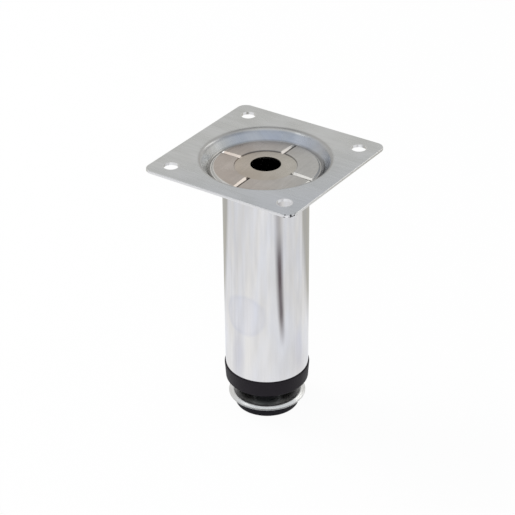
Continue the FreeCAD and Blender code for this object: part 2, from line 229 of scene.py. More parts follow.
# thin bright or dull lines where a surface has rubbed against others
def scratchGroup():
    tree, start, end = groupTree(
        "handlingScratches",
        [("Stretch", "NodeSocketVector", (1.0, 1.0, 1.0)), ("Turn", "NodeSocketFloat", 0.0),
         ("Rarity", "NodeSocketFloat", 0.66), ("Sharpness", "NodeSocketFloat", 14.0)],
        [("Mask", "NodeSocketFloat")])
    coord = addNode(tree, "ShaderNodeTexCoord")
    turned = addNode(tree, "ShaderNodeVectorRotate", rotation_type="Z_AXIS")
    tree.links.new(coord.outputs["Object"], turned.inputs["Vector"])
    tree.links.new(start.outputs["Turn"], turned.inputs["Angle"])
    noise = stretchedNoise(tree, turned.outputs["Vector"], start.outputs["Stretch"],
                           roughness=0.7)
    noise.inputs["Detail"].default_value = 4.0
    above = minus(tree, noise.outputs["Fac"], start.outputs["Rarity"])
    mask = product(tree, above, start.outputs["Sharpness"])
    tree.links.new(clamped(tree, mask), end.inputs["Mask"])
    return tree


surfaceGrain = grainGroup()
handlingScratches = scratchGroup()


def grain(tree, stretch, detail=3.0, contrast=1.0):
    node = addNode(tree, "ShaderNodeGroup", node_tree=surfaceGrain)
    node.inputs["Stretch"].default_value = stretch
    node.inputs["Detail"].default_value = detail
    node.inputs["Contrast"].default_value = contrast
    return node.outputs["Value"]


def scratches(tree, stretch, turn, rarity):
    node = addNode(tree, "ShaderNodeGroup", node_tree=handlingScratches)
    node.inputs["Stretch"].default_value = stretch
    node.inputs["Turn"].default_value = math.radians(turn)
    node.inputs["Rarity"].default_value = rarity
    return node.outputs["Mask"]


def bump(tree, shader, height, strength, distance):
    node = addNode(tree, "ShaderNodeBump")
    node.inputs["Strength"].default_value = strength
    node.inputs["Distance"].default_value = distance
    tree.links.new(height, node.inputs["Height"])
    tree.links.new(node.outputs["Normal"], shader.inputs["Normal"])


# plated steel: blotches in the plating, fine lines of the sheet, handling scratches
finishes = {
    "chromePlate": {
        "colours": ((0.64, 0.65, 0.635), (0.80, 0.81, 0.815)), "roughness": (0.22, 0.34),
        "blotches": (70, 110, 90), "lines": (60, 1100, 60),
        "lineColour": 0.11, "lineDepth": 0.22,
        "scratchStretch": (60, 2200, 60), "scratchTurn": 24, "rarity": 0.68,
        "worn": (0.80, 0.80, 0.79)},
    "chromeTube": {
        "colours": ((0.77, 0.77, 0.775), (0.84, 0.84, 0.845)), "roughness": (0.06, 0.11),
        "blotches": (210, 210, 22), "lines": (1100, 1100, 18),
        "lineColour": 0.07, "lineDepth": 0.22,
        "scratchStretch": (1500, 1500, 60), "scratchTurn": 0, "rarity": 0.70,
        "worn": (0.62, 0.62, 0.63)},
    "nickelDisc": {
        "colours": ((0.51, 0.475, 0.43), (0.70, 0.675, 0.64)), "roughness": (0.20, 0.30),
        "blotches": (85, 85, 85), "lines": (1200, 90, 90),
        "lineColour": 0.12, "lineDepth": 0.25,
        "scratchStretch": (2000, 70, 70), "scratchTurn": -18, "rarity": 0.68,
        "worn": (0.72, 0.69, 0.64)},
    "zincFlange": {
        "colours": ((0.76, 0.77, 0.76), (0.86, 0.87, 0.86)), "roughness": (0.20, 0.28),
        "blotches": (210, 210, 210), "lines": (300, 300, 1500),
        "lineColour": 0.06, "lineDepth": 0.15,
        "scratchStretch": (1800, 120, 120), "scratchTurn": 40, "rarity": 0.70,
        "worn": (0.84, 0.84, 0.83)},
    "zincStud": {
        "colours": ((0.52, 0.53, 0.54), (0.66, 0.67, 0.67)), "roughness": (0.26, 0.38),
        "blotches": (320, 320, 320), "lines": (300, 300, 2600),
        "lineColour": 0.10, "lineDepth": 0.2,
        "scratchStretch": (500, 500, 2600), "scratchTurn": 0, "rarity": 0.68,
        "worn": (0.74, 0.74, 0.72)},
    # the nut is dark steel all over
    "darkNut": {
        "colours": ((0.07, 0.068, 0.065), (0.13, 0.125, 0.12)), "roughness": (0.40, 0.55),
        "blotches": (300, 300, 300), "lines": (900, 900, 200),
        "lineColour": 0.10, "lineDepth": 0.2,
        "scratchStretch": (1500, 300, 300), "scratchTurn": 30, "rarity": 0.70,
        "worn": (0.30, 0.30, 0.29)},
}

plating = {                   # what all these finishes share
    "blotchDetail": 4.0,
    "blotchContrast": 1.8,
    "blotchLevels": (0.2, 0.8),
    "lineDetail": 3.0,
    "lineContrast": 1.5,
    "lineLevels": (0.3, 0.8),
    "line": (0.25, 0.25, 0.25),
    "wornShare": 0.45,
    "wornRoughness": 0.08,
    "wornHeight": -0.4,       # against the height of the lines
    "depth": 0.00002,
}


def metal(name, stained=None, roughRim=None):
    finish = finishes[name]
    mat, tree, shader = newMaterial(name)
    shader.inputs["Metallic"].default_value = 1.0
    patch = grain(tree, finish["blotches"], plating["blotchDetail"], plating["blotchContrast"])
    line = grain(tree, finish["lines"], plating["lineDetail"], plating["lineContrast"])
    worn = scratches(tree, finish["scratchStretch"], finish["scratchTurn"], finish["rarity"])
    colour = mixColour(tree, patch, *finish["colours"])
    drawn = grows(tree, line, plating["lineLevels"], finish["lineColour"])
    colour = mixColour(tree, drawn, colour, plating["line"])
    colour = mixColour(tree, product(tree, worn, plating["wornShare"]), colour, finish["worn"])
    if stained:
        colour = stained(tree, colour)
    tree.links.new(colour, shader.inputs["Base Color"])
    rough = mapRange(tree, patch, *plating["blotchLevels"], *finish["roughness"])
    rough = mathNode(tree, "MULTIPLY_ADD", worn, plating["wornRoughness"], rough)
    if roughRim:
        radius = length(tree, *place(tree)[:2])
        rough = mathNode(tree, "ADD", rough, grows(tree, radius, *roughRim))
    tree.links.new(rough, shader.inputs["Roughness"])
    height = mathNode(tree, "MULTIPLY_ADD", worn, plating["wornHeight"], line)
    bump(tree, shader, height, finish["lineDepth"], plating["depth"])
    return mat


# plate: painted highlights along its sheared edge and hole rims, chipped at the front corner,
# clouded in the dish, with painted shade round the bend and where the disc meets the dish;
# stretches are in metres from the middle unless noted
plate = {
    "bluer": (0.86, 0.90, 1.0),            # one corner came out of the bath bluer
    "bluerStretch": (-0.005, 0.05),        # of x - y
    "bluerShare": 0.7,
    "straight": 0.0265,                    # half a side up to the rounding of the corner
    # painted highlight for the sheared edge and the hole rims
    "highlight": (0.95, 0.95, 0.95),
    "edge": (0.02975, 0.0299),
    "edgeShare": 0.85,
    "holeAt": 0.023,
    "holeRim": (0.00262, 0.0029),          # from the hole's middle
    "holeRimShare": 0.75,
    "chip": (0.05, 0.05, 0.055),
    "chipGrain": ((900, 900, 1500), 1.0, 2.2),
    "chipLevels": (0.52, 0.60),
    "chipCorner": (0.0560, 0.0570),        # of x - y
    "chipShare": 0.95,
    "chipEdge": (0.0294, 0.0297),
    "cloud": (0.855, 0.88, 0.955),         # bluish clouds on the far half of the dish
    "cloudGrain": ((150, 150, 150), 2.0, 1.6),
    "cloudLevels": (0.3, 0.7, 0.5, 1.25),  # between these levels of the grain, these shares
    "cloudDirection": 70.0,
    "cloudStretch": (-0.003, 0.011),       # along that direction
    "cloudEnd": (0.0216, 0.0226),
    "paintedBendShade": (0.74, 0.74, 0.755),          # painted shade on a stretch of the bend
    "paintedBendShadeStart": (0.0215, 0.0219),
    "paintedBendShadeEnd": (0.0221, 0.0227),
    "paintedBendShadeDirection": 168.0,
    "paintedBendShadeStretch": (0.0180, 0.0205),      # along that direction
    "paintedRingShades": (                             # painted shade round the bend: start, end, share and colour
        ((0.0214, 0.0222), (0.0228, 0.0236), 0.22, (0.30, 0.29, 0.28)),
        ((0.0222, 0.0225), (0.0229, 0.0232), 0.2, (0.22, 0.20, 0.18))),
    "creaseShade": (0.10, 0.085, 0.07),         # painted shade where the disc meets the dish
    "creaseShadeStart": (0.0187, 0.0191),
    "creaseShadeHeights": (0.0957, 0.0965),
    "creaseShadeShare": 0.62,
}


# how far a coordinate reaches past a limit on either side of the middle
def past(tree, value, limit):
    return minus(tree, mathNode(tree, "ABSOLUTE", value), limit)


def platePattern(tree, colour):
    x, y, z = place(tree)
    radius = length(tree, x, y)
    toCorner = minus(tree, x, y)
    share = grows(tree, toCorner, plate["bluerStretch"], plate["bluerShare"])
    colour = mixColour(tree, share, colour, plate["bluer"], "MULTIPLY")
    overX, overY = (mathNode(tree, "MAXIMUM", past(tree, way, plate["straight"]), 0.0)
                    for way in (x, y))
    reach = mathNode(tree, "ADD", plate["straight"], length(tree, overX, overY))
    # painted highlight along the sheared edge and round each hole rim
    edge = grows(tree, reach, plate["edge"], plate["edgeShare"])
    colour = mixColour(tree, edge, colour, plate["highlight"])
    fromHole = length(tree, past(tree, x, plate["holeAt"]), past(tree, y, plate["holeAt"]))
    rim = fades(tree, fromHole, plate["holeRim"], plate["holeRimShare"])
    colour = mixColour(tree, rim, colour, plate["highlight"])
    chip = product(tree, grows(tree, grain(tree, *plate["chipGrain"]), plate["chipLevels"]),
                   grows(tree, toCorner, plate["chipCorner"], plate["chipShare"]),
                   grows(tree, reach, plate["chipEdge"]))
    colour = mixColour(tree, chip, colour, plate["chip"])
    cloud = product(tree, mapRange(tree, grain(tree, *plate["cloudGrain"]), *plate["cloudLevels"]),
                    grows(tree, along(tree, x, y, plate["cloudDirection"]), plate["cloudStretch"]),
                    fades(tree, radius, plate["cloudEnd"]))
    colour = mixColour(tree, cloud, colour, plate["cloud"], "MULTIPLY")
    # painted shade on the back-left stretch of the bend
    paintedBendShade = product(tree, band(tree, radius, plate["paintedBendShadeStart"], plate["paintedBendShadeEnd"]),
                    grows(tree, along(tree, x, y, plate["paintedBendShadeDirection"]), plate["paintedBendShadeStretch"]))
    colour = mixColour(tree, paintedBendShade, colour, plate["paintedBendShade"], "MULTIPLY")
    # painted shade in rings round the bend
    for start, end, share, paintedShade in plate["paintedRingShades"]:
        colour = mixColour(tree, product(tree, band(tree, radius, start, end), share), colour, paintedShade)
    # painted shade low in the dish round the disc
    creaseShade = product(tree, grows(tree, radius, plate["creaseShadeStart"]),
                     fades(tree, z, plate["creaseShadeHeights"], plate["creaseShadeShare"]))
    return mixColour(tree, creaseShade, colour, plate["creaseShade"])


# disc: the nickel is browned on the ring and at one side, greyer at the other; painted shade
# darkens the far edge, the foot of the step and the bed of the grooves, and a painted highlight
# runs along the rim of the brown side
disc = {
    "greySide": 34.6,                      # compass direction of the greyer side
    "sideStretch": (-0.013, 0.013),
    "brown": (0.985, 0.925, 0.905),
    "grey": (0.99, 1.03, 1.075),
    "ring": (1.0, 0.975, 0.915),
    "ringEnd": (0.0104, 0.0108),
    # painted shade over the far edge
    "farShade": (0.885, 0.885, 0.90),
    "farShadeStretch": (0.006, 0.013),
    "brim": (0.95, 0.95, 0.93),            # painted highlight along the rim of the brown side
    "brimStart": (0.0177, 0.0181),
    "brimShare": 0.8,
    "brimStretch": (-0.010, -0.014),
    # painted shade at the foot of the step and in the bed of the grooves
    "paintedShade": (0.05, 0.04, 0.03),
    "paintedShadeShare": 0.88,
    "stepStart": (0.01068, 0.01079),
    "stepEnd": (0.01090, 0.01096),
    "stepHeights": (0.09665, 0.0970, 1.0, 0.25),  # between these heights, these shares
    "stepShare": 0.6,
    "bedHalf": (0.00030, 0.00042),         # half the width of a groove's bed
    "bedStart": (0.0102, 0.0103),
    "bedHeights": (0.0962, 0.0964),
}


def discPattern(tree, colour):
    x, y, z = place(tree)
    radius = length(tree, x, y)
    aside = along(tree, x, y, disc["greySide"])
    tint = mixColour(tree, grows(tree, aside, disc["sideStretch"]), disc["brown"], disc["grey"])
    colour = mixColour(tree, 1.0, colour, tint, "MULTIPLY")
    colour = mixColour(tree, fades(tree, radius, disc["ringEnd"]), colour, disc["ring"], "MULTIPLY")
    # painted shade: darker towards the far edge
    far = grows(tree, along(tree, x, y, disc["greySide"] + 90), disc["farShadeStretch"])
    colour = mixColour(tree, far, colour, disc["farShade"], "MULTIPLY")
    # painted highlight along the rim of the brown side
    brim = product(tree, grows(tree, radius, disc["brimStart"], disc["brimShare"]),
                   grows(tree, aside, disc["brimStretch"]))
    colour = mixColour(tree, brim, colour, disc["brim"])
    # painted shade at the foot of the step and in the groove beds
    step = product(tree, band(tree, radius, disc["stepStart"], disc["stepEnd"]),
                   mapRange(tree, z, *disc["stepHeights"]), disc["stepShare"])
    fromMiddle = mathNode(tree, "MINIMUM", mathNode(tree, "ABSOLUTE", x),
                          mathNode(tree, "ABSOLUTE", y))
    beds = product(tree, fades(tree, fromMiddle, disc["bedHalf"]),
                   grows(tree, radius, disc["bedStart"]), fades(tree, z, disc["bedHeights"]))
    share = product(tree, mathNode(tree, "MAXIMUM", step, beds), disc["paintedShadeShare"])
    return mixColour(tree, share, colour, disc["paintedShade"])


# painted shade darkens the flange round the stud, and a painted highlight brightens its rolled rim
flangeShading = {
    # painted highlight on the rolled rim
    "rim": (0.97, 0.975, 0.97),
    "rimStart": (0.0109, 0.0116),
    "rimShare": 0.8,
    "rimRoughness": ((0.0090, 0.0112), 0.10),
    # painted shade round the stud
    "innerShade": (0.07, 0.074, 0.076),
    "innerShadeEnd": (0.0102, 0.0116),
    "innerShadeShare": 0.76,
    "deepShade": (0.012, 0.013, 0.016),
    "deepShadeEnd": (0.0091, 0.0103),
    "deepShadeShare": 0.6,
}


def flangePattern(tree, colour):
    radius = length(tree, *place(tree)[:2])
    # painted highlight on the rolled rim
    rim = grows(tree, radius, flangeShading["rimStart"], flangeShading["rimShare"])
    colour = mixColour(tree, rim, colour, flangeShading["rim"])
    # painted shade round the stud, deepest near it
    innerShade = fades(tree, radius, flangeShading["innerShadeEnd"], flangeShading["innerShadeShare"])
    colour = mixColour(tree, innerShade, colour, flangeShading["innerShade"])
    deepShade = fades(tree, radius, flangeShading["deepShadeEnd"], flangeShading["deepShadeShare"])
    return mixColour(tree, deepShade, colour, flangeShading["deepShade"])


# dried water mark on the tube, faintly blue inside its edge
waterMark = {
    "at": (0.0007, -0.0150, 0.0440),
    "radius": 0.0090,
    "edge": 0.0014,
    "wander": 0.0012,         # how far the edge strays from a circle
    "wanderGrain": ((120, 120, 120), 2.0, 1.0),
    "inside": (0.945, 0.955, 1.0),
    "insideShare": 0.9,
    "ring": (0.80, 0.82, 0.86),
    "ringShare": 0.16,
}


def tubePattern(tree, colour):
    offX, offY, offZ = (minus(tree, way, middle)
                        for way, middle in zip(place(tree), waterMark["at"]))
    away = length(tree, length(tree, offX, offY), offZ)
    wander = mapRange(tree, grain(tree, *waterMark["wanderGrain"]), 0.0, 1.0,
                      -waterMark["wander"], waterMark["wander"])
    away = mathNode(tree, "ADD", away, wander)
    outer = waterMark["radius"]
    middle, inner = outer - waterMark["edge"], outer - 2 * waterMark["edge"]
    inside = fades(tree, away, (middle, outer), waterMark["insideShare"])
    colour = mixColour(tree, inside, colour, waterMark["inside"], "MULTIPLY")
    ring = product(tree, grows(tree, away, (inner, middle)),
                   fades(tree, away, (middle, outer), waterMark["ringShare"]))
    return mixColour(tree, ring, colour, waterMark["ring"], "MULTIPLY")


chromePlate = metal("chromePlate", platePattern)
chromeTube = metal("chromeTube", tubePattern)
nickelDisc = metal("nickelDisc", discPattern)
zincFlange = metal("zincFlange", flangePattern, flangeShading["rimRoughness"])
zincStud = metal("zincStud")
darkNut = metal("darkNut")

# moulded plastic: faint blotches and a fine satin grain
mouldings = {
    "blackPlug": {"colours": ((0.010, 0.0078, 0.0105), (0.018, 0.0145, 0.019)),
                  "roughness": (0.42, 0.55), "grainDepth": 0.35},
    "blackPad": {"colours": ((0.0075, 0.0062, 0.0092), (0.012, 0.0102, 0.0145)),
                 "roughness": (0.42, 0.52), "grainDepth": 0.3},
}
moulded = {                   # what both share
    "specular": 0.14,
    "blotches": ((150, 150, 150), 3.0, 1.5),
    "blotchLevels": (0.2, 0.8),
    "grain": ((2500, 2500, 2500), 2.0),
    "depth": 0.00004,
}


def plastic(name):
    moulding = mouldings[name]
    mat, tree, shader = newMaterial(name)
    shader.inputs["Specular IOR Level"].default_value = moulded["specular"]
    patch = grain(tree, *moulded["blotches"])
    tree.links.new(mixColour(tree, patch, *moulding["colours"]), shader.inputs["Base Color"])
    rough = mapRange(tree, patch, *moulded["blotchLevels"], *moulding["roughness"])
    tree.links.new(rough, shader.inputs["Roughness"])
    bump(tree, shader, grain(tree, *moulded["grain"]), moulding["grainDepth"], moulded["depth"])
    return mat


def paint(nodeName, material):
    mesh = nodes[nodeName].data
    mesh.materials.clear()
    mesh.materials.append(material)


paint("mounting_plate", chromePlate)
paint("top_disc", nickelDisc)
paint("tube", chromeTube)
paint("end_plug", plastic("blackPlug"))
paint("thread_nut", darkNut)
paint("adjusting_stud", zincStud)
paint("foot_flange", zincFlange)
paint("foot_pad", plastic("blackPad"))
print("materials done")

# adjusting stud: turned blank with the thread cut by geometry nodes
stud = {
    "pitch": 0.0015,
    "depth": 0.00088,
    "crest": 0.14,            # flat share of the pitch at the crest
    "root": 0.22,             # and at the root
    "radius": 0.005,
    "shankRadius": 0.004,
    "rivetRadius": 0.0062,
    "rivetHeight": 0.001,
    "rivetRound": 0.0012,     # its edge is rounded over this width
    "rivetDome": 0.8,         # and over this share of its height
    "point": 0.001,
    "shoulder": 0.0055,       # height of the flange's upper face
    "runOut": 0.0012,
    "segments": 48,
    "rowsPerPitch": 12,
    "roundSteps": 6,
    "sharpAngle": 38,
}


def studProfile():
    low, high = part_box("adjusting_stud")
    bottom, top = low[2], high[2]
    rivet, height, corner = stud["rivetRadius"], stud["rivetHeight"], stud["rivetRound"]
    radius, shank, shoulder = stud["radius"], stud["shankRadius"], stud["shoulder"]
    point, steps = stud["point"], stud["roundSteps"]
    points = [(0.0, bottom)]
    for step in range(steps + 1):                  # rounded head of the rivet
        turn = math.radians(90 * step / steps)
        points.append((rivet - corner + corner * math.sin(turn),
                       bottom + height * stud["rivetDome"] * (1 - math.cos(turn))))
    points += [(rivet, bottom + height), (shank, bottom + height),
               (shank, shoulder), (radius, shoulder)]
    threaded = top - point - shoulder              # rows of points for the thread to be cut in
    rows = int(round(threaded / stud["pitch"] * stud["rowsPerPitch"]))
    for row in range(1, rows + 1):
        points.append((radius, shoulder + threaded * row / rows))
    for step in range(1, steps + 1):
        points.append((radius - point * step / steps, top - point + point * step / steps))
    points.append((0.0, top))
    return points


# closed turned shape from points of radius and height
def latheMesh(name, points, segments):
    mesh = bpy.data.meshes.new(name)
    bm = bmesh.new()
    turns = [2 * math.pi * k / segments for k in range(segments)]
    paintedRingShades = []
    for radius, height in points:
        if radius == 0.0:
            paintedRingShades.append([bm.verts.new((0.0, 0.0, height))])
        else:
            paintedRingShades.append([bm.verts.new((radius * math.cos(turn), radius * math.sin(turn), height))
                          for turn in turns])
    for lower, upper in zip(paintedRingShades, paintedRingShades[1:]):
        for k in range(segments):
            nextK = (k + 1) % segments
            if len(lower) == 1:
                bm.faces.new((lower[0], upper[nextK], upper[k]))
            elif len(upper) == 1:
                bm.faces.new((lower[k], lower[nextK], upper[0]))
            else:
                bm.faces.new((lower[k], lower[nextK], upper[nextK], upper[k]))
    bm.normal_update()
    bm.to_mesh(mesh)
    bm.free()
    return mesh


def cutThreadTree():
    tree = bpy.data.node_groups.new("cutThread", "GeometryNodeTree")
    tree.interface.new_socket(name="Geometry", in_out="INPUT", socket_type="NodeSocketGeometry")
    for socketName in ("Pitch", "Depth", "Crest Flat", "Root Flat", "Major Radius",
                       "Start", "Run Out"):
        tree.interface.new_socket(name=socketName, in_out="INPUT", socket_type="NodeSocketFloat")
    tree.interface.new_socket(name="Material", in_out="INPUT", socket_type="NodeSocketMaterial")
    tree.interface.new_socket(name="Geometry", in_out="OUTPUT", socket_type="NodeSocketGeometry")
    given, out = tree.nodes.new("NodeGroupInput"), tree.nodes.new("NodeGroupOutput")
    value = given.outputs
    position = tree.nodes.new("GeometryNodeInputPosition")
    split = tree.nodes.new("ShaderNodeSeparateXYZ")
    tree.links.new(position.outputs[0], split.inputs[0])
    x, y, z = split.outputs
    turn = mathNode(tree, "DIVIDE", mathNode(tree, "ARCTAN2", y, x), 2 * math.pi)
    phase = mathNode(tree, "FRACT", minus(tree, mathNode(tree, "DIVIDE", z, value["Pitch"]), turn))
    swing = mathNode(tree, "ABSOLUTE", mathNode(tree, "MULTIPLY_ADD", phase, 2.0, -1.0))
    tent = minus(tree, 1.0, swing)
    flank = minus(tree, minus(tree, 1.0, value["Crest Flat"]), value["Root Flat"])
    rise = mathNode(tree, "DIVIDE", minus(tree, tent, value["Crest Flat"]), flank)
    begun = mathNode(tree, "DIVIDE", minus(tree, z, value["Start"]), value["Run Out"])
    drop = product(tree, clamped(tree, rise), clamped(tree, begun), value["Depth"])
    wanted = minus(tree, value["Major Radius"], drop)
    radius = mathNode(tree, "MAXIMUM", length(tree, x, y), 0.000001)    # never quite 0
    scale = mathNode(tree, "DIVIDE", mathNode(tree, "MINIMUM", radius, wanted), radius)
    moved = tree.nodes.new("ShaderNodeCombineXYZ")
    tree.links.new(product(tree, x, scale), moved.inputs[0])
    tree.links.new(product(tree, y, scale), moved.inputs[1])
    tree.links.new(z, moved.inputs[2])
    shift = tree.nodes.new("GeometryNodeSetPosition")
    tree.links.new(value["Geometry"], shift.inputs["Geometry"])
    tree.links.new(moved.outputs[0], shift.inputs["Position"])
    real = tree.nodes.new("GeometryNodeRealizeInstances")
    tree.links.new(shift.outputs["Geometry"], real.inputs["Geometry"])
    coat = tree.nodes.new("GeometryNodeSetMaterial")
    tree.links.new(real.outputs["Geometry"], coat.inputs["Geometry"])
    tree.links.new(value["Material"], coat.inputs["Material"])
    tree.links.new(coat.outputs["Geometry"], out.inputs["Geometry"])
    return tree


def applyNodes(obj, tree, values):
    modifier = obj.modifiers.new(tree.name, "NODES")
    modifier.node_group = tree
    for item in tree.interface.items_tree:
        if item.in_out == "INPUT" and item.name in values:
            modifier[item.identifier] = values[item.name]
    evaluated = obj.evaluated_get(bpy.context.evaluated_depsgraph_get())
    mesh = bpy.data.meshes.new_from_object(evaluated)
    obj.modifiers.remove(modifier)
    obj.data = mesh
    mesh.name = obj.name


def makeStud():
    obj = addObject("threadedStud", latheMesh("threadedStud", studProfile(), stud["segments"]))
    applyNodes(obj, cutThreadTree(), {
        "Pitch": stud["pitch"], "Depth": stud["depth"],
        "Crest Flat": stud["crest"], "Root Flat": stud["root"],
        "Major Radius": stud["radius"], "Start": stud["shoulder"], "Run Out": stud["runOut"],
        "Material": zincStud})
    obj.data.shade_smooth()
    obj.data.set_sharp_from_angle(angle=math.radians(stud["sharpAngle"]))
    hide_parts("adjusting_stud")
    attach(obj, "screw")


makeStud()
print("stud done")

# foot flange: pressed sheet whose rim bends down to a cone, finer than the CAD plate's
flange = {
    "hole": 0.004,
    "under": 0.00425,
    "top": 0.0055,
    "bendFrom": 0.0122,       # radii where the bend starts and ends
    "bendTo": 0.0133,
    "slope": 50.0,            # degrees the rim falls after the bend
    "coneTo": 0.01378,
    "radius": 0.014,
    "segments": 160,
    "webSteps": 5,
    "bendSteps": 16,
    "lipSteps": 5,
    "sharpAngle": 50,
    "weldWithin": 0.000001,   # the profile's two ends meet and are merged
}


def flangeProfile():
    hole, under, top = flange["hole"], flange["under"], flange["top"]
    bendFrom, bendTo, coneTo = flange["bendFrom"], flange["bendTo"], flange["coneTo"]
    slope = math.radians(flange["slope"])
    points = [(hole, under), (hole, top)]
    steps = flange["webSteps"]
    points += [(hole + (bendFrom - hole) * step / steps, top) for step in range(1, steps + 1)]
    height, steps = top, flange["bendSteps"]
    for step in range(steps):                      # bend: slope grows evenly
        share = (step + 0.5) / steps
        height -= math.tan(slope * share) * (bendTo - bendFrom) / steps
        points.append((bendFrom + (bendTo - bendFrom) * (step + 1) / steps, height))
    height -= math.tan(slope) * (coneTo - bendTo)
    points.append((coneTo, height))
    steps = flange["lipSteps"]
    for step in range(1, steps + 1):               # round lip down to the underside
        turn = math.radians(90 * step / steps)
        points.append((coneTo + (flange["radius"] - coneTo) * math.sin(turn),
                       under + (height - under) * math.cos(turn)))
    points.append((hole, under))
    return points[::-1]


def makeFlange():
    mesh = latheMesh("rolledFlange", flangeProfile(), flange["segments"])
    bm = bmesh.new()
    bm.from_mesh(mesh)
    bmesh.ops.remove_doubles(bm, verts=bm.verts, dist=flange["weldWithin"])
    bm.to_mesh(mesh)
    bm.free()
    mesh.materials.append(zincFlange)
    obj = addObject("rolledFlange", mesh)
    mesh.shade_smooth()
    mesh.set_sharp_from_angle(angle=math.radians(flange["sharpAngle"]))
    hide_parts("foot_flange")
    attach(obj, "screw")


makeFlange()
print("flange done")

# floor: the camera sees white, metal sees the painted paper glowing, with painted shade on the
# far side and one dark thing beside the leg; stretches are in metres from the leg
stage = {
    "floorSize": 6.0,
    "floorShade": 0.9,
    "cameraGlow": 0.95,             # share of plain white in what the camera sees of the floor
    "mirrorGlow": 0.88,             # share of the painted floor in what metal sees of it
    "near": (0.97, 0.97, 0.99),
    "far": (0.47, 0.455, 0.40),
    "farStretch": (-0.046, -0.075),  # towards the camera is positive
    "farLean": -0.12,               # the far side's border lies a little askew
    "falls": (                      # painted shade: what metal sees of the floor grows a little darker to the right and to the left
        ((0.01, 0.12), 0.20, (0.35, 0.34, 0.33)),
        ((-0.05, -0.14), 0.24, (0.35, 0.34, 0.34))),
    "dark": (0.045, 0.013, 0.022),  # a dark thing beside the leg, seen in the tube
    "darkAt": (0.0885, -0.0323),
    "darkTurn": -31.0,
    "darkWidth": 0.0150,
    "darkSpread": 0.24,             # it widens by this share of its length
    "darkLeast": 0.002,
    "darkFade": (0.25, 1.2),        # shares of its width
    "darkStart": (-0.034, -0.010),
    "darkEnd": (0.034, 0.056, 1.0, 0.45),   # between these places, these shares
    "patch": (0.72, 0.72, 0.80),    # two bluish patches
    "patches": ((-0.035, -0.040), (0.046, 0.026)),
    "patchFade": (0.0066, 0.022),
    "patchShare": 0.6,
    "cloud": (0.5, 0.5, 0.51),
    "cloudScale": 30.0,
    "cloudDetail": 3.0,
    "cloudLevels": (0.38, 0.68),
    "cloudShade": 0.26,
    "hueScale": 22.0,
    "hueLevels": (0.35, 0.65),
    "hues": ((1.0, 0.985, 0.95), (0.95, 0.965, 1.0)),
}


# what lies right of the leg and what lies towards the camera, as the photograph shows them
def viewAxes(tree, x, y):
    return along(tree, x, y, camera["azimuth"]), along(tree, x, y, camera["azimuth"] - 90)


def paintedPaper(tree):
    coord = addNode(tree, "ShaderNodeTexCoord")
    split = addNode(tree, "ShaderNodeSeparateXYZ")
    tree.links.new(coord.outputs["Object"], split.inputs[0])
    x, y = split.outputs[:2]
    side, towards = viewAxes(tree, x, y)
    leaning = mathNode(tree, "MULTIPLY_ADD", side, stage["farLean"], towards)
    far = grows(tree, leaning, stage["farStretch"])
    painted = mixColour(tree, far, stage["near"], stage["far"])
    # painted shade towards the sides
    for stretch, share, shade in stage["falls"]:
        painted = mixColour(tree, grows(tree, side, stretch, share), painted, shade)
    darkX, darkY = (minus(tree, way, middle) for way, middle in zip((x, y), stage["darkAt"]))
    onward = along(tree, darkX, darkY, stage["darkTurn"])
    across = along(tree, darkX, darkY, stage["darkTurn"] + 90)
    width = mathNode(tree, "MULTIPLY_ADD", onward, stage["darkSpread"], stage["darkWidth"])
    width = mathNode(tree, "MAXIMUM", width, stage["darkLeast"])
    share = mathNode(tree, "DIVIDE", mathNode(tree, "ABSOLUTE", across), width)
    dark = product(tree, fades(tree, share, stage["darkFade"]),
                   grows(tree, onward, stage["darkStart"]),
                   mapRange(tree, onward, *stage["darkEnd"]))
    painted = mixColour(tree, dark, painted, stage["dark"])
    for middle in stage["patches"]:
        away = length(tree, *(minus(tree, way, at) for way, at in zip((x, y), middle)))
        patch = fades(tree, away, stage["patchFade"], stage["patchShare"])
        painted = mixColour(tree, patch, painted, stage["patch"])
    cloud = addNode(tree, "ShaderNodeTexNoise")
    cloud.inputs["Scale"].default_value = stage["cloudScale"]
    cloud.inputs["Detail"].default_value = stage["cloudDetail"]
    tree.links.new(coord.outputs["Object"], cloud.inputs["Vector"])
    cloudy = grows(tree, cloud.outputs["Fac"], stage["cloudLevels"], stage["cloudShade"])
    painted = mixColour(tree, cloudy, painted, stage["cloud"])
    hue = addNode(tree, "ShaderNodeTexNoise")
    hue.inputs["Scale"].default_value = stage["hueScale"]
    tree.links.new(coord.outputs["Object"], hue.inputs["Vector"])
    tint = mixColour(tree, grows(tree, hue.outputs["Fac"], stage["hueLevels"]), *stage["hues"])
    return mixColour(tree, 1.0, painted, tint, "MULTIPLY")


def mixShader(tree, factor, first, second):
    mix = tree.nodes.new("ShaderNodeMixShader")
    tree.links.new(factor, mix.inputs["Fac"])
    tree.links.new(first, mix.inputs[1])
    tree.links.new(second, mix.inputs[2])
    return mix.outputs["Shader"]


def addFloor():
    mesh = bpy.data.meshes.new("floor")
    half = stage["floorSize"] / 2
    corners = [(-half, -half, 0), (half, -half, 0), (half, half, 0), (-half, half, 0)]
    mesh.from_pydata(corners, [], [(0, 1, 2, 3)])
    obj = addObject("floor", mesh)
    mat, tree, out = emptyMaterial("floorPaper")
    paper = tree.nodes.new("ShaderNodeBsdfDiffuse")
    paper.inputs["Color"].default_value = (stage["floorShade"],) * 3 + (1.0,)
    path = tree.nodes.new("ShaderNodeLightPath")
    mirror = tree.nodes.new("ShaderNodeEmission")
    tree.links.new(paintedPaper(tree), mirror.inputs["Color"])
    glow = tree.nodes.new("ShaderNodeEmission")
    forMetal = mixShader(tree, product(tree, path.outputs["Is Glossy Ray"], stage["mirrorGlow"]),
                         paper.outputs["BSDF"], mirror.outputs["Emission"])
    forCamera = mixShader(tree, product(tree, path.outputs["Is Camera Ray"], stage["cameraGlow"]),
                          forMetal, glow.outputs["Emission"])
    tree.links.new(forCamera, out.inputs["Surface"])
    mesh.materials.append(mat)
    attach(obj, "pad")      # the pad stands on it, so it follows the foot when that is turned


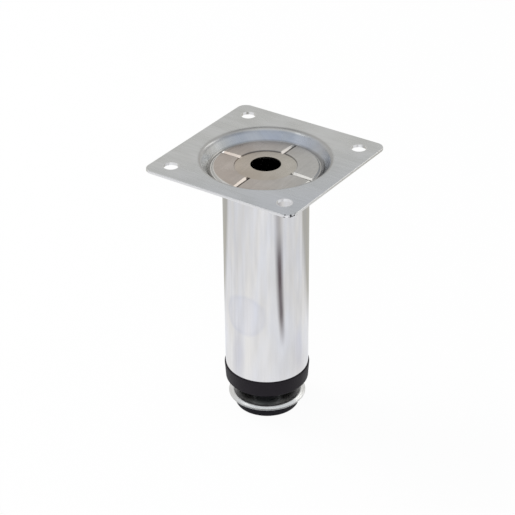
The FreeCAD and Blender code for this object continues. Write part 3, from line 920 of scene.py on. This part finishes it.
# room: stretches are shares of the view direction, its height is 1 straight up
room = {
    "wallBehind": (0.66, 0.655, 0.645),
    "wallFront": (0.53, 0.57, 0.635),     # on the camera's side
    "wallStretch": (-0.4, 0.5),           # towards the camera
    "skirting": (0.56, 0.54, 0.51),       # a little darker and low behind the leg
    "skirtingStretch": (0.15, -0.35),
    "skirtingHeights": (0.14, 0.30),
    "darkFront": (0.16, 0.16, 0.17),      # low on the camera's side, seen between foot and collar
    "darkStretch": (-0.1, 0.3),
    "darkHeights": (0.10, 0.30),
    "low": (0.50, 0.49, 0.47),
    "lowHeights": (0.05, -0.05),
    "ceiling": (0.40, 0.40, 0.41),
    "ceilingHeights": (0.80, 0.95),
    "ceilingFront": (0.78, 0.78, 0.77),   # brighter panel overhead on the camera's side
    "frontStretch": (-0.05, 0.12),
    "frontHeights": (0.70, 0.80),
    "softbox": (2.15, 2.12, 2.06),
    "softboxSide": (0.58, 0.74),          # share of the direction that points sideways
    "softboxStart": (0.54, 0.62),         # heights
    "softboxEnd": (0.68, 0.78),
    "softboxDrop": 0.20,                  # the right one hangs lower and further back
    "dropStretch": (-0.5, 0.5),
    "halves": (-0.2, 0.2),                # where the left half passes into the right one
    "leftStart": (0.06, 0.16),            # towards the camera
    "leftEnd": (0.32, 0.46),
    "rightEnd": (-0.06, -0.20),
}


def wallColour(tree, x, y, z):
    side, towards = viewAxes(tree, x, y)
    front = grows(tree, towards, room["wallStretch"])
    colour = mixColour(tree, front, room["wallBehind"], room["wallFront"])
    behind = product(tree, grows(tree, towards, room["skirtingStretch"]),
                     fades(tree, z, room["skirtingHeights"]))
    colour = mixColour(tree, behind, colour, room["skirting"])
    inFront = product(tree, grows(tree, towards, room["darkStretch"]),
                      fades(tree, z, room["darkHeights"]))
    colour = mixColour(tree, inFront, colour, room["darkFront"])
    colour = mixColour(tree, grows(tree, z, room["lowHeights"]), colour, room["low"])
    colour = mixColour(tree, grows(tree, z, room["ceilingHeights"]), colour, room["ceiling"])
    overhead = product(tree, grows(tree, towards, room["frontStretch"]),
                       grows(tree, z, room["frontHeights"]))
    colour = mixColour(tree, overhead, colour, room["ceilingFront"])
    height = mathNode(tree, "ADD", z, grows(tree, side, room["dropStretch"], room["softboxDrop"]))
    onLeft = product(tree, band(tree, towards, room["leftStart"], room["leftEnd"]),
                     fades(tree, side, room["halves"]))
    onRight = product(tree, grows(tree, towards, room["rightEnd"]),
                      grows(tree, side, room["halves"]))
    box = product(tree, band(tree, height, room["softboxStart"], room["softboxEnd"]),
                  grows(tree, mathNode(tree, "ABSOLUTE", side), room["softboxSide"]),
                  mathNode(tree, "MAXIMUM", onLeft, onRight))
    return mixColour(tree, box, colour, room["softbox"])


def addWorld():
    world = bpy.data.worlds.new("studio")
    bpy.context.scene.world = world
    world.use_nodes = True
    tree = world.node_tree
    tree.nodes.clear()
    out = tree.nodes.new("ShaderNodeOutputWorld")
    shown = tree.nodes.new("ShaderNodeBackground")
    shown.inputs["Color"].default_value = (1.0, 1.0, 1.0, 1.0)
    walls = tree.nodes.new("ShaderNodeBackground")
    coord = tree.nodes.new("ShaderNodeTexCoord")
    split = tree.nodes.new("ShaderNodeSeparateXYZ")
    tree.links.new(coord.outputs["Generated"], split.inputs[0])
    tree.links.new(wallColour(tree, *split.outputs), walls.inputs["Color"])
    path = tree.nodes.new("ShaderNodeLightPath")
    seen = mixShader(tree, path.outputs["Is Camera Ray"],
                     walls.outputs["Background"], shown.outputs["Background"])
    tree.links.new(seen, out.inputs["Surface"])


lamps = {
    "keyLamp": {
        "from": (-0.55, -0.05, 0.75), "size": 0.35, "watts": 3.5, "colour": (1.0, 0.99, 0.97)},
    "fillLamp": {
        "from": (0.35, -0.75, 0.6), "size": 0.6, "watts": 1.6, "colour": (0.97, 0.98, 1.0)},
}
lampAim = (0.0, 0.0, 0.05)


def addLamps():
    for name, lamp in lamps.items():
        data = bpy.data.lights.new(name, "AREA")
        data.shape = "SQUARE"
        data.size = lamp["size"]
        data.energy = lamp["watts"]
        data.color = lamp["colour"]
        obj = addObject(name, data)
        obj.location = lamp["from"]
        aim = Vector(lampAim) - obj.location
        obj.rotation_euler = aim.to_track_quat("-Z", "Y").to_euler()
        obj.visible_glossy = False


addFloor()
addWorld()
addLamps()
print("stage done")
